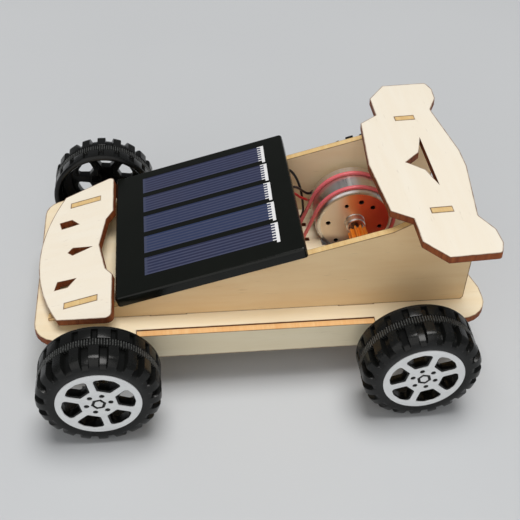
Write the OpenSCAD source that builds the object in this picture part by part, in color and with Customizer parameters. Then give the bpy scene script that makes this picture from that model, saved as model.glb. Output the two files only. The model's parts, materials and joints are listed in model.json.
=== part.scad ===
// Solar powered car kit: plywood chassis, solar panel, strapped-in motor and geared rear axle.
// Origin: on the ground under the middle of the car. +X points to the tail, +Y to the far side.

/* [Chassis] */
// Length of the base plate
base_l = 130.4; // [126:0.2:134]
// Width of the base plate
base_w = 63.5; // [62:0.5:66]
// Thickness of every plywood plate
ply = 2.1; // [1.8:0.1:2.3]
// Height of the top of the base plate above the ground
base_top = 20.7; // [20.7:0.1:21]
// Distance between the outer faces of the two side walls
walls_w = 47.4; // [46:0.2:48]
// Slope of the hood and the solar panel in degrees
slope = 16.35; // [16:0.05:16.7]

/* [Wheels] */
// Diameter of a wheel over its tread
wheel_d = 33.4; // [33:0.1:34]
// Width of a tyre
tyre_w = 13.1; // [13:0.1:13.5]
// Distance between the two axles
wheelbase = 88.5; // [87:0.5:90]
// Distance between the outer faces of the front wheels
front_track = 102.3; // [102:0.1:104]
// Distance between the outer faces of the rear wheels
rear_track = 97.8; // [97.6:0.1:102]
// Diameter of the steel axles
axle_d = 2; // [1.8:0.1:2]

/* [Drive] */
// Diameter of the motor can
motor_d = 24.4; // [24:0.1:24.4]
// Length of the motor can
motor_l = 12.3; // [12:0.1:12.5]
// Gear module
gear_module = 0.5; // [0.5]
// Teeth of the motor pinion
pinion_teeth = 10; // [10]
// Teeth of the axle gear
axle_gear_teeth = 50; // [50]

/* [Solar panel] */
// Length of the panel along the slope
panel_l = 55.3; // [54:0.1:55.5]
// Width of the panel across the car
panel_w = 56; // [54:0.5:56]
// Thickness of the panel
panel_t = 3.3; // [2.5:0.1:3.4]
// Number of cell strips
strips = 5; // [4:1:6]

/* [Hidden] */
$fn = 48;
arc_steps = 6;
eps = 0.01;
gap = 0.1;               // play of a tab in its slot
run_gap = 0.05;          // radial play of a running fit
cut = 50;                // longer than anything that it cuts through

// heights and stations along the car
wheel_r = wheel_d / 2;
axle_r = axle_d / 2;
base_under = base_top - ply;
tail_x = base_l / 2;
nose_x = -tail_x;
front_axle_x = -47;
rear_axle_x = front_axle_x + wheelbase;
half_w = base_w / 2;

// side walls
wall_out = walls_w / 2;
wall_in = wall_out - ply;
wall_front_x = nose_x + 3.9;
wall_rear_x = 59;
wall_rear_foot = 0.8;    // chamfer at the foot of the rear edge
wall_knee_z = 38;        // above this the rear edge leans forward, under the spoiler
wall_rear_top_x = 56.4;
wall_z0 = 37.46;         // height of the sloping edge over the origin
hood_end_x = -43;
kink_x = 34.7;
spoiler_seat_x = 42.1;
front_tabs = [-32.6, -22.5];
rear_tabs = [21.9, 32.1];
hood_tabs = [-56.6, -47.2];
spoiler_tabs = [44.55, 50.5];

// hood and spoiler: height of the top face over the origin, and its slope
hood_z0 = 41.85;
spoiler_z0 = 51.72;
spoiler_slope = 2.86;
hood_drop = ply / cos(slope);
spoiler_drop = ply / cos(spoiler_slope);

// side rails
recess_front_x = -36.7;
recess_rear_x = 31.2;
recess_d = 2.5;
rail_z = 11.8;
rail_front_x = front_axle_x - 6;
rail_rear_x = rear_axle_x + 6;
rail_corner_r = 3;

// wheels: depths are measured in from a wheel's outer face
front_shift = -0.65;     // each wheelset has slid to the near side, within its end play
rear_shift = -1.4;
face_r = 11.45;          // radius of the bright wheel disc
disc_t = 3;
hub_r = 2.6;
hub_l = 15.5;
socket_depth = 2.5;      // how far under the face the axle ends
carcass_r = wheel_r - 1.4;
barrel_r = wheel_r - 2.5;
shoulder_r = 13.2;       // where the rounded shoulders start, on the wheel's face
shoulder_d = 4.2;        // how far in the carcass's shoulder ends
lug_shoulder_d = 2.8;    // and a lug's
rib_r = carcass_r + 0.3; // band between the rows of lugs
rib_band = [6.2, 8.6];
lugs = 20;
flange = [11.9, 12.7];   // the unbroken ring at the back of the tread
lug_rows = [[0, rib_band[0]], [rib_band[1], flange[0] + 0.1]];
back_r = wheel_r - 0.8;
windows = 6;

// drive
pinion_pitch_r = gear_module * pinion_teeth / 2;
gear_pitch_r = gear_module * axle_gear_teeth / 2;
mesh_d = pinion_pitch_r + gear_pitch_r + 0.05;
mesh_angle = 132.5;
motor_x = rear_axle_x + mesh_d * cos(mesh_angle);
motor_z = wheel_r + mesh_d * sin(mesh_angle);
motor_r = motor_d / 2;
motor_face_y = 5.4;
motor_back_y = motor_face_y + motor_l;
can_wall = 0.7;
can_edge_r = 1.5;
boss_r = 3;
boss_h = 2.4;
can_holes = [            // [along, up, radius] from the motor's axis, in its face
    [-3.1, 6.3, 0.65], [1.4, 7.6, 0.8], [5.2, 5.4, 0.75],
    [-8.3, 0, 0.75], [8.1, -2.1, 0.7], [-5.3, -7.1, 0.75]];
cap_t = 1.2;
pinion_y = [-4.8, 0.4];
gear_y = [-4.4, -1.9];
gear_hub_r = 3;
gear_hub_end_y = 0.4;

// openings in the base plate
seat_half = sqrt(motor_r ^ 2 - (motor_z - base_top) ^ 2) + 0.02;
motor_window_y = [3.4, 20];
gear_slot_x = [28.2, 54.8];
gear_slot_y = [-6.2, 0.8];

// rubber bands
band_ys = [6.5, 13.7];
band_t = 1;
band_w = 1.2;
band_hook = [15.6, 17.6];
band_slot_x = [13.8, 17.6];
band_notch_x = motor_x + seat_half + 2.2;

// solar panel
panel_front_x = -42.4;
panel_y = 3.55;
strip_w = 7.4;
strip_pitch = 9.5;
strip_x = [9.1, 47.9];   // from the panel's front edge, along the slope
strip_y = 1.25;          // middle of the strips, across the panel
strip_depth = 0.3;
busbar_w = 1;
pad_size = [2.4, 2.4, 1];
pad_x = 2.6;
pad_ys = [13.8, 6.4];

// lead routes
lead_d = 0.8;
lead_sides = 8;
black_route = [
    [3.4, 13.8, 37.6], [5.6, 14.4, 38.0], [8.2, 16.2, 38.9], [10.4, 18.0, 39.6], [12.4, 18.2, 38.9],
    [14.1, 17.1, 36.9], [15.3, 16.1, 34.0], [16.0, 15.5, 31.0], [16.5, 15.3, 27.6], [16.7, 15.5, 24.6],
    [16.0, 15.9, 22.2], [13.8, 15.8, 21.2], [10.6, 15.0, 21.2], [7.6, 13.6, 21.9], [5.9, 12.0, 24.2],
    [5.8, 10.9, 27.6], [6.6, 10.5, 31.2], [8.1, 10.3, 34.8], [10.2, 10.4, 37.6], [12.4, 11.4, 37.8],
    [14.4, 13.3, 35.8], [16.0, 15.0, 33.4], [17.6, 16.4, 31.4], [19.0, 17.9, 30.2], [20.6, 19.3, 30.2],
    [22.4, 20.0, 30.7], [23.8, 20.0, 31.0]];
red_route = [
    [3.4, 6.4, 37.6], [5.2, 6.4, 37.9], [7.4, 6.6, 38.5], [9.6, 7.0, 38.9], [11.6, 8.0, 38.1],
    [13.2, 9.4, 36.3], [14.4, 11.0, 34.2], [15.9, 12.6, 32.3], [17.3, 14.6, 30.2], [18.0, 16.6, 28.4],
    [19.0, 18.4, 26.8], [20.6, 19.6, 25.6], [22.4, 20.0, 25.0], [23.8, 20.0, 25.0]];
terminal_x = 23.8;
terminal_zs = [31.0, 25.0];

wood = "BurlyWood";
pale_wood = "Wheat";

// ---- helpers ----

function unit(v) = v / norm(v);

// The points of one corner [x, y, radius], rounded by an arc where the radius isn't 0.
function corner(before, p, after) =
    p.z == 0 ? [[p.x, p.y]] :
    let (
        here = [p.x, p.y],
        a = unit([before.x, before.y] - here),
        b = unit([after.x, after.y] - here),
        half = acos(a * b) / 2,
        centre = here + unit(a + b) * p.z / sin(half),
        from = here + a * p.z / tan(half) - centre,
        to = here + b * p.z / tan(half) - centre,
        start = atan2(from.y, from.x),
        turn = (atan2(to.y, to.x) - start + 540) % 360 - 180)
    [for (i = [0 : arc_steps]) centre + p.z * [cos(start + turn * i / arc_steps),
                                               sin(start + turn * i / arc_steps)]];

// An outline from corners [x, y, radius].
function rounded(pts) =
    let (n = len(pts))
    [for (i = [0 : n - 1]) each corner(pts[(i + n - 1) % n], pts[i], pts[(i + 1) % n])];

// A half outline on the far side, completed with its mirror image.
function both_sides(half) =
    concat(half, [for (i = [len(half) - 1 : -1 : 0]) if (half[i].y != 0) [half[i].x, -half[i].y, half[i].z]]);

// Points on a circle about the origin.
function on_circle(r, a) = r * [cos(a), sin(a)];

function wall_z(x) = wall_z0 + tan(slope) * x;
function hood_z(x) = hood_z0 + tan(slope) * x;
function spoiler_z(x) = spoiler_z0 + tan(spoiler_slope) * x;

// A flat toothed shape: gears and rows of tread lugs. Widths are in degrees.
module toothed(n, root_r, tip_r, root_a, tip_a, turn = 0)
    polygon([for (i = [0 : n - 1], t = [[root_r, -root_a], [tip_r, -tip_a], [tip_r, tip_a], [root_r, root_a]])
        on_circle(t[0], turn + i * 360 / n + t[1] / 2)]);

// A plate whose top face passes through height z at station x, sloping up to the tail.
module sloping_plate(x, z, angle, t)
    translate([x, 0, z]) rotate([0, -angle, 0]) translate([0, 0, -t]) linear_extrude(t) children();

// A profile in X and Z, extruded across the car from y to y + w.
module across(y, w)
    translate([0, y + w, 0]) rotate([90, 0, 0]) linear_extrude(w) children();

// A cylinder across the car, from y0 to y1.
module rod(x, z, r, y0, y1)
    translate([x, y1, z]) rotate([90, 0, 0]) cylinder(r = r, h = y1 - y0);

// Puts a wheel part, whose face is at z = 0 and looks along +Z, on its side of the car.
module on_wheel(x, face_y)
    translate([x, face_y, wheel_r]) rotate([-90 * sign(face_y), 0, 0]) children();

// A tube of diameter d swept along a list of points.
module tube(route, d, sides) {
    n = len(route);
    rings = [for (i = [0 : n - 1])
        let (
            along = unit(route[min(i + 1, n - 1)] - route[max(i - 1, 0)]),
            side = unit(cross(along, abs(along.z) > 0.9 ? [1, 0, 0] : [0, 0, 1])),
            up = cross(side, along))
        for (k = [0 : sides - 1])
            route[i] + d / 2 * (side * cos(k * 360 / sides) + up * sin(k * 360 / sides))];
    walls = [for (i = [0 : n - 2], k = [0 : sides - 1])
        let (a = i * sides + k, b = i * sides + (k + 1) % sides)
        each [[a, b, b + sides], [a, b + sides, a + sides]]];
    ends = [[for (k = [sides - 1 : -1 : 0]) k], [for (k = [0 : sides - 1]) (n - 1) * sides + k]];
    polyhedron(rings, concat(walls, ends), convexity = 8);
}

// A route with points added between its own, on a smooth curve through them.
function smooth(p, parts) =
    let (n = len(p))
    [for (i = [0 : n - 2], k = [0 : parts - 1])
        let (
            t = k / parts,
            a = p[max(i - 1, 0)], b = p[i], c = p[i + 1], d = p[min(i + 2, n - 1)])
        0.5 * (2 * b + (c - a) * t + (2 * a - 5 * b + 4 * c - d) * t ^ 2 + (3 * b - a - 3 * c + d) * t ^ 3),
     p[n - 1]];

// ---- chassis plates ----

module base_outline() {
    half = [
        [nose_x, half_w, 7.2], [recess_front_x, half_w, 0], [recess_front_x, half_w - recess_d, 0],
        [recess_rear_x, half_w - recess_d, 0], [recess_rear_x, half_w, 0], [tail_x, half_w, 8.4],
        [tail_x, 19.2, 2], [tail_x - 1.4, 13.5, 2]];
    polygon(rounded(both_sides(half)));
}

module slot_2d(xs, ys)
    translate([xs[0], ys[0]]) square([xs[1] - xs[0], ys[1] - ys[0]]);

module base_plate() {
    color(pale_wood)
    translate([0, 0, base_under]) linear_extrude(ply) difference() {
        base_outline();
        for (tabs = [front_tabs, rear_tabs]) {
            slot_2d([tabs[0] - gap, tabs[1] + gap], [wall_in - gap, wall_out + gap]);
            slot_2d([tabs[0] - gap, tabs[1] + gap], [-wall_out - gap, -wall_in + gap]);
        }
        slot_2d([motor_x - seat_half, motor_x + seat_half], motor_window_y);
        slot_2d(gear_slot_x, gear_slot_y);
        for (y = band_ys) {
            slot_2d(band_slot_x, [y - band_w / 2 - gap, y + band_w / 2 + gap]);
            slot_2d([motor_x, band_notch_x], [y - band_w / 2 - gap, y + band_w / 2 + gap]);
        }
    }
}

module rail(side) {
    outline = [
        [rail_front_x, rail_z, rail_corner_r], [rail_rear_x, rail_z, rail_corner_r],
        [rail_rear_x, base_under, 0], [recess_rear_x - gap, base_under, 0],
        [recess_rear_x - gap, base_top, 0], [recess_front_x + gap, base_top, 0],
        [recess_front_x + gap, base_under, 0], [rail_front_x, base_under, 0]];
    y = side > 0 ? half_w - ply : -half_w;
    color(wood) difference() {
        across(y, ply) polygon(rounded(outline));
        for (x = [front_axle_x, rear_axle_x])
            rod(x, wheel_r, axle_r + run_gap, y - 1, y + ply + 1);
    }
}

module side_wall(side) {
    lean = ply * sin(slope);
    sp_lean = ply * sin(spoiler_slope);
    hood_under = hood_drop + gap / 2;
    sp_under = spoiler_drop + gap / 2;
    outline = [
        [wall_front_x, base_top],
        [front_tabs[0], base_top], [front_tabs[0], base_under],
        [front_tabs[1], base_under], [front_tabs[1], base_top],
        [rear_tabs[0], base_top], [rear_tabs[0], base_under],
        [rear_tabs[1], base_under], [rear_tabs[1], base_top],
        [wall_rear_x - wall_rear_foot, base_top], [wall_rear_x, base_top + wall_rear_foot],
        [wall_rear_x, wall_knee_z], [wall_rear_top_x, spoiler_z(wall_rear_top_x) - sp_under],
        [spoiler_tabs[1] + sp_lean - gap, spoiler_z(spoiler_tabs[1]) - sp_under],
        [spoiler_tabs[1] - gap, spoiler_z(spoiler_tabs[1])],
        [spoiler_tabs[0] + gap, spoiler_z(spoiler_tabs[0])],
        [spoiler_tabs[0] + sp_lean + gap, spoiler_z(spoiler_tabs[0]) - sp_under],
        [spoiler_seat_x, spoiler_z(spoiler_seat_x) - sp_under],
        [kink_x, wall_z(kink_x)], [hood_end_x, wall_z(hood_end_x)],
        [hood_end_x, hood_z(hood_end_x) - hood_under],
        [hood_tabs[1] + lean - gap, hood_z(hood_tabs[1] + lean) - hood_under],
        [hood_tabs[1] - gap, hood_z(hood_tabs[1] - gap)],
        [hood_tabs[0] + gap, hood_z(hood_tabs[0] + gap)],
        [hood_tabs[0] + lean + gap, hood_z(hood_tabs[0] + lean) - hood_under],
        [wall_front_x, hood_z(wall_front_x) - hood_under]];
    color(wood) across(side > 0 ? wall_in : -wall_out, ply) polygon(outline);
}

// The hood's outline, notch and cut-outs, measured along the slope from the hood's rear edge.
module hood_2d() {
    function s(x) = (x - hood_end_x) / cos(slope);
    nose_r = 61;
    nose_half_a = 27;
    nose = [for (i = [0 : 12]) let (a = nose_half_a * i / 12)
        [s(nose_x + nose_r * (1 - cos(a))), nose_r * sin(a), 0]];
    rear = [[s(hood_end_x), 32.2, 1.6], [s(hood_end_x), 14.5, 0], [s(-45.1), 11.2, 0], [s(-47.1), 0, 0]];
    difference() {
        polygon(rounded(both_sides(concat(nose, rear))));
        for (side = [-1, 1]) {
            slot_2d([s(hood_tabs[0]), s(hood_tabs[1])],
                    side > 0 ? [wall_in - gap, wall_out + gap] : [-wall_out - gap, -wall_in + gap]);
            polygon([
                [s(-59.8), side * 15.2], [s(-56), side * 15.2],
                [s(-53.6), side * 12.3], [s(-59), side * 12]]);
        }
        polygon([[s(-56.5), 0], [s(-55.1), 1.6], [s(-49.1), 0], [s(-55.1), -1.6]]);
    }
}

module hood_plate()
    color(pale_wood) sloping_plate(hood_end_x, hood_z(hood_end_x), slope, ply) hood_2d();

// The spoiler's outline: a swept tail with two side wings and an arrowhead cut-out.
module spoiler_2d() {
    half = [
        [31.9, 0, 0], [33.7, 21.5, 0], [39.2, 25.4, 0], [39.2, 34.9, 0], [44.7, 41.9, 0],
        [58.6, 41.8, 1.2], [59.9, 38, 2.5], [59.6, 32.4, 3], [56.5, 26.3, 1.5], [59.6, 4, 3]];
    difference() {
        polygon(rounded(both_sides(half)));
        for (side = [-1, 1])
            slot_2d(spoiler_tabs,
                    side > 0 ? [wall_in - gap, wall_out + gap] : [-wall_out - gap, -wall_in + gap]);
        polygon([[42.8, 0], [47.6, 4.25], [49.7, 11.8], [49.7, -11.8], [47.6, -4.25]]);
    }
}

module spoiler_plate()
    color(pale_wood) sloping_plate(0, spoiler_z0, spoiler_slope, ply) spoiler_2d();

// ---- solar panel ----

// The panel's own frame: u along the slope from its front edge, v across it, w up from its underside.
module on_panel()
    translate([panel_front_x + panel_t * sin(slope), panel_y, wall_z(panel_front_x + panel_t * sin(slope))])
        rotate([0, -slope, 0]) children();

function strip_v(i) = strip_y + (i - (strips - 1) / 2) * strip_pitch;

module strip_boxes(depth)
    for (i = [0 : strips - 1])
        translate([strip_x[0], strip_v(i) - strip_w / 2, panel_t - depth])
            cube([strip_x[1] - strip_x[0], strip_w, depth]);

module busbar_boxes(depth)
    for (i = [0 : strips - 1])
        translate([strip_x[1], strip_v(i) - strip_pitch / 2 + 0.3, panel_t - depth])
            cube([busbar_w, strip_pitch - 0.6, depth]);

module panel_board()
    color("black") on_panel() difference() {
        translate([0, -panel_w / 2, 0]) cube([panel_l, panel_w, panel_t]);
        translate([0, 0, eps]) strip_boxes(strip_depth + eps);
        translate([0, 0, eps]) busbar_boxes(strip_depth + eps);
    }

module panel_cells() color("MidnightBlue") on_panel() strip_boxes(strip_depth);

module panel_busbars() color("WhiteSmoke") on_panel() busbar_boxes(strip_depth);

module panel_pads()
    color("Silver")
    for (y = pad_ys)
        translate([pad_x, y - pad_size.y / 2, wall_z(pad_x)]) rotate([0, -slope, 0])
            translate([0, 0, -pad_size.z]) cube(pad_size);

// ---- axles and wheels ----

module axle(x, track, shift) {
    half = track / 2 - socket_depth;
    color("Silver") rod(x, wheel_r, axle_r, shift - half, shift + half);
}

// A rounded shoulder, from the face to radius r at depth d: points of radius and height.
function shoulder(r, d) =
    [for (a = [0 : 15 : 90]) [shoulder_r + (r - shoulder_r) * sin(a), d * (cos(a) - 1)]];

module tyre(x, face_y)
    color("DimGray") on_wheel(x, face_y) {
        rotate_extrude($fn = 96) polygon(concat(
            [[face_r, -0.3]], shoulder(carcass_r, shoulder_d), [
            [carcass_r, -rib_band[0]], [rib_r, -rib_band[0]],
            [rib_r, -rib_band[1]], [carcass_r, -rib_band[1]],
            [carcass_r, -flange[0]], [wheel_r, -flange[0]], [wheel_r, -flange[1]],
            [back_r, -tyre_w], [back_r - 0.5, -tyre_w],
            [barrel_r, 2 - tyre_w], [barrel_r, -disc_t - 1.4], [face_r, -disc_t]]));
        for (i = [0, 1]) let (row = lug_rows[i])
            intersection() {
                translate([0, 0, -row[1]]) linear_extrude(row[1] - row[0])
                    toothed(lugs, barrel_r - 1.5, wheel_r + 1, 11, 10, i * 180 / lugs);
                rotate_extrude($fn = 96) polygon(concat(
                    shoulder(wheel_r, lug_shoulder_d), [[wheel_r, -tyre_w], [carcass_r - 0.5, -tyre_w]],
                    [[carcass_r - 0.5, -shoulder_d], [shoulder_r, -0.5]]));
            }
    }

module window_2d() {
    corners = [
        [5.3, -1.8, 0.6], [8.6, -3.8, 0.9], [9.75, -1.5, 2],
        [9.75, 1.5, 2], [8.6, 3.8, 0.9], [5.3, 1.8, 0.6]];
    polygon(rounded(corners));
}

// turn is the angle of a window's middle, seen from the near side.
module wheel(x, face_y, turn)
    color("Silver") on_wheel(x, face_y) rotate([0, 0, -sign(face_y) * turn]) difference() {
        union() {
            translate([0, 0, -disc_t]) cylinder(r = face_r, h = disc_t, $fn = 96);
            translate([0, 0, -hub_l]) cylinder(r = hub_r, h = hub_l);
        }
        for (i = [0 : windows - 1])
            rotate([0, 0, i * 360 / windows]) translate([0, 0, -2 * disc_t])
                linear_extrude(3 * disc_t) window_2d();
        translate([0, 0, -hub_l - 1]) cylinder(r = axle_r, h = hub_l - socket_depth + 1);
    }

module axle_gear()
    color("OrangeRed") difference() {
        union() {
            across(gear_y[0], gear_y[1] - gear_y[0]) translate([rear_axle_x, wheel_r])
                toothed(axle_gear_teeth, gear_pitch_r - 0.65, gear_pitch_r + gear_module, 4.8, 1.6,
                        mesh_angle);
            rod(rear_axle_x, wheel_r, gear_hub_r, gear_y[1], gear_hub_end_y);
        }
        rod(rear_axle_x, wheel_r, axle_r, gear_y[0] - 1, gear_hub_end_y + 1);
    }

// ---- motor ----

module motor_can() {
    edge = [for (i = [0 : 3]) let (a = 90 - i * 30)
        [motor_r - can_edge_r + can_edge_r * cos(a), can_edge_r - can_edge_r * sin(a)]];
    color("Silver") translate([motor_x, motor_face_y, motor_z]) rotate([-90, 0, 0]) difference() {
        union() {
            rotate_extrude($fn = 96) polygon(concat(
                [[0, 0]], edge, [[motor_r, motor_l], [0, motor_l]]));
            translate([0, 0, -boss_h]) cylinder(r = boss_r, h = boss_h + eps);
        }
        translate([0, 0, can_wall]) cylinder(r = motor_r - can_wall, h = cut);
        translate([0, 0, -boss_h - 1]) cylinder(r = axle_r + run_gap, h = cut);
        for (h = can_holes)
            translate([h[0], -h[1], -1]) cylinder(r = h[2], h = can_wall + 2);
    }
}

module motor_end_cap()
    color("WhiteSmoke") difference() {
        rod(motor_x, motor_z, motor_r - can_wall, motor_back_y - cap_t, motor_back_y + 0.4);
        rod(motor_x, motor_z, axle_r + run_gap, motor_back_y - cap_t - 1, motor_back_y + 1);
    }

module motor_magnet()
    color("DimGray") difference() {
        rod(motor_x, motor_z, motor_r - can_wall, motor_face_y + 1.6, motor_back_y - cap_t - 0.4);
        rod(motor_x, motor_z, 9.4, motor_face_y, motor_back_y);
    }

module motor_armature()
    color("Chocolate") difference() {
        rod(motor_x, motor_z, 8.8, motor_face_y + 1.8, motor_back_y - cap_t - 0.8);
        rod(motor_x, motor_z, axle_r, motor_face_y, motor_back_y);
    }

module motor_shaft()
    color("Silver") rod(motor_x, motor_z, axle_r, pinion_y[0], motor_back_y + 0.4);

module motor_terminals()
    color("Gold")
    for (z = terminal_zs)
        translate([terminal_x, motor_back_y + 0.4, z - 1]) cube([1.8, 3, 2]);

module pinion_gear()
    color("Orange") difference() {
        across(pinion_y[0], pinion_y[1] - pinion_y[0]) translate([motor_x, motor_z])
            toothed(pinion_teeth, pinion_pitch_r - 0.65, pinion_pitch_r + gear_module, 24, 8.4,
                    mesh_angle + 180 / pinion_teeth);
        rod(motor_x, motor_z, axle_r, pinion_y[0] - 1, pinion_y[1] + 1);
    }

// ---- rubber bands and leads ----

// Outline of a band pulled round the motor and hooked under the plate, offset by d from the can.
function band_loop(d) =
    let (
        r = motor_r + d,
        to_hook = band_hook - [motor_x, motor_z],
        hook_a = atan2(to_hook.y, to_hook.x),
        hook_r = band_t / 2 + d,
        tangent_a = acos((r - hook_r) / norm(to_hook)),
        round_start = hook_a + tangent_a,
        round_turn = 360 - 2 * tangent_a)
    concat(
        [for (i = [0 : 30]) [motor_x, motor_z] + on_circle(r, round_start + round_turn * i / 30)],
        [for (i = [0 : 8]) band_hook + on_circle(hook_r, hook_a - tangent_a + 2 * tangent_a * i / 8)]);

module band(y)
    color("IndianRed") across(y - band_w / 2, band_w) difference() {
        polygon(band_loop(band_t + 0.05));
        polygon(band_loop(0.05));
    }

module lead_black() color("Black") tube(smooth(black_route, 2), lead_d, lead_sides);

module lead_red() color("Red") tube(smooth(red_route, 2), lead_d, lead_sides);

base_plate();
rail(-1);  // rail_near
rail(1);  // rail_far
side_wall(-1);  // side_wall_near
side_wall(1);  // side_wall_far
hood_plate();
spoiler_plate();
panel_board();
panel_cells();
panel_busbars();
panel_pads();
axle(front_axle_x, front_track, front_shift);  // front_axle
axle(rear_axle_x, rear_track, rear_shift);  // rear_axle
tyre(front_axle_x, front_shift - front_track / 2);  // tyre_front_near
tyre(front_axle_x, front_shift + front_track / 2);  // tyre_front_far
tyre(rear_axle_x, rear_shift - rear_track / 2);  // tyre_rear_near
tyre(rear_axle_x, rear_shift + rear_track / 2);  // tyre_rear_far
wheel(front_axle_x, front_shift - front_track / 2, 11);  // wheel_front_near
wheel(front_axle_x, front_shift + front_track / 2, 24.5);  // wheel_front_far
wheel(rear_axle_x, rear_shift - rear_track / 2, 47);  // wheel_rear_near
wheel(rear_axle_x, rear_shift + rear_track / 2, 30);  // wheel_rear_far
axle_gear();
motor_can();
motor_end_cap();
motor_magnet();
motor_armature();
motor_shaft();
motor_terminals();
pinion_gear();
band(band_ys[0]);  // band_near
band(band_ys[1]);  // band_far
lead_black();
lead_red();
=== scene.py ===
"""Looks of the solar powered car kit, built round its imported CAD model. Every length is in metres."""
import json
import math

import bmesh
import bpy
from mathutils import Matrix, Vector

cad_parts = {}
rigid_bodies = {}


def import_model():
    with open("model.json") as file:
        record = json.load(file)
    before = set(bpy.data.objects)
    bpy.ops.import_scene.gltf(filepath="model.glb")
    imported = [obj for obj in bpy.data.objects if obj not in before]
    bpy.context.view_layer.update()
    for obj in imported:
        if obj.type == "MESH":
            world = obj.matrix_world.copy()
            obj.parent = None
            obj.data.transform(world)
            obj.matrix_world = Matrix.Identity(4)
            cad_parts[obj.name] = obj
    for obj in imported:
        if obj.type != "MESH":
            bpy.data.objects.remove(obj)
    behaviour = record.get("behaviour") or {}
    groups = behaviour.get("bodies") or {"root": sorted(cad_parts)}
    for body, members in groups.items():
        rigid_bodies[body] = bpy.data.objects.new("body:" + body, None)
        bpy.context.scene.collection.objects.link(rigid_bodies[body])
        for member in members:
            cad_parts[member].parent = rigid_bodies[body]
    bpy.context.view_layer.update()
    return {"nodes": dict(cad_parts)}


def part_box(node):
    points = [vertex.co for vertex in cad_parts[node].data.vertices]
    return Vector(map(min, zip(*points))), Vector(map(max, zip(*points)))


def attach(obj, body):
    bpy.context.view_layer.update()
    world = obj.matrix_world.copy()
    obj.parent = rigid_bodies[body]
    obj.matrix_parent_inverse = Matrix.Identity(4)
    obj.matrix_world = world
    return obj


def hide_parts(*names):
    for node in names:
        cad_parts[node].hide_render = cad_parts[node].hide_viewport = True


for leftover in list(bpy.data.objects):
    bpy.data.objects.remove(leftover)

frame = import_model()

MM = 0.001
NEAR, FAR = -1, 1

SLOPE = math.radians(16.35)     # of the walls' upper edges, which the hood and the panel share
WALL_Z0 = 37.46 * MM            # the height of those edges at x = 0
PANEL_FRONT_X = -42.4 * MM      # the panel's upper front edge
PANEL_T = 3.3 * MM
PANEL_Y = 3.55 * MM             # the panel's middle, a little to the far side


# ---- camera, light and floor ----

def make_camera():
    """The camera stands off the near side, a little rolled, and looks down at the car."""
    place = (-0.027, -0.2084, 0.20575)
    yaw, pitch, roll = math.radians(7.764), math.radians(41.654), math.radians(2.371)
    data = bpy.data.cameras.new("camera")
    data.lens = 62.82
    data.sensor_width = 36
    data.clip_start = 0.01
    camera = bpy.data.objects.new("camera", data)
    aim = Matrix.Rotation(-yaw, 4, "Z") @ Matrix.Rotation(math.pi / 2 - pitch, 4, "X")
    camera.matrix_world = Matrix.Translation(place) @ aim @ Matrix.Rotation(roll, 4, "Z")
    bpy.context.scene.collection.objects.link(camera)
    bpy.context.scene.camera = camera


def make_light(name, kind, place, target, **settings):
    """A light that points from its place to its target."""
    data = bpy.data.lights.new(name, kind)
    for key, value in settings.items():
        setattr(data, key, value)
    light = bpy.data.objects.new(name, data)
    light.location = place
    light.rotation_mode = "QUATERNION"
    light.rotation_quaternion = (Vector(target) - Vector(place)).to_track_quat("-Z", "Y")
    bpy.context.scene.collection.objects.link(light)


def make_stage():
    """A pale grey floor, a soft key from above, a wide fill from the front and a dim even sky."""
    middle = (0, 0, 0.03)
    make_light("key", "SUN", (0.05, 0.06, 0.8), middle, energy=2.25, angle=math.radians(36),
               color=(1, 0.985, 0.965))
    make_light("fill", "AREA", (-0.3, -1.2, 0.75), middle, energy=9.4, size=1.8, color=(1, 0.98, 0.95))
    world = bpy.data.worlds.new("sky")
    bpy.context.scene.world = world
    world.use_nodes = True
    sky = world.node_tree.nodes["Background"]
    sky.inputs["Color"].default_value = (0.93, 0.96, 1, 1)
    sky.inputs["Strength"].default_value = 0.15
    bpy.context.scene.view_settings.view_transform = "Standard"

    half = 3
    corners = [(-half, -half, 0), (half, -half, 0), (half, half, 0), (-half, half, 0)]
    mesh = bpy.data.meshes.new("floor")
    mesh.from_pydata(corners, [], [(0, 1, 2, 3)])
    floor = bpy.data.objects.new("floor", mesh)
    bpy.context.scene.collection.objects.link(floor)
    tree = Shader("floor")
    grey = tree.ramp(tree.noise(6, 2), [(0.3, (0.555, 0.572, 0.59)), (0.7, (0.575, 0.592, 0.61))])
    tree.finish(grey, roughness=0.75)
    mesh.materials.append(tree.material)


# ---- materials ----

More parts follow.
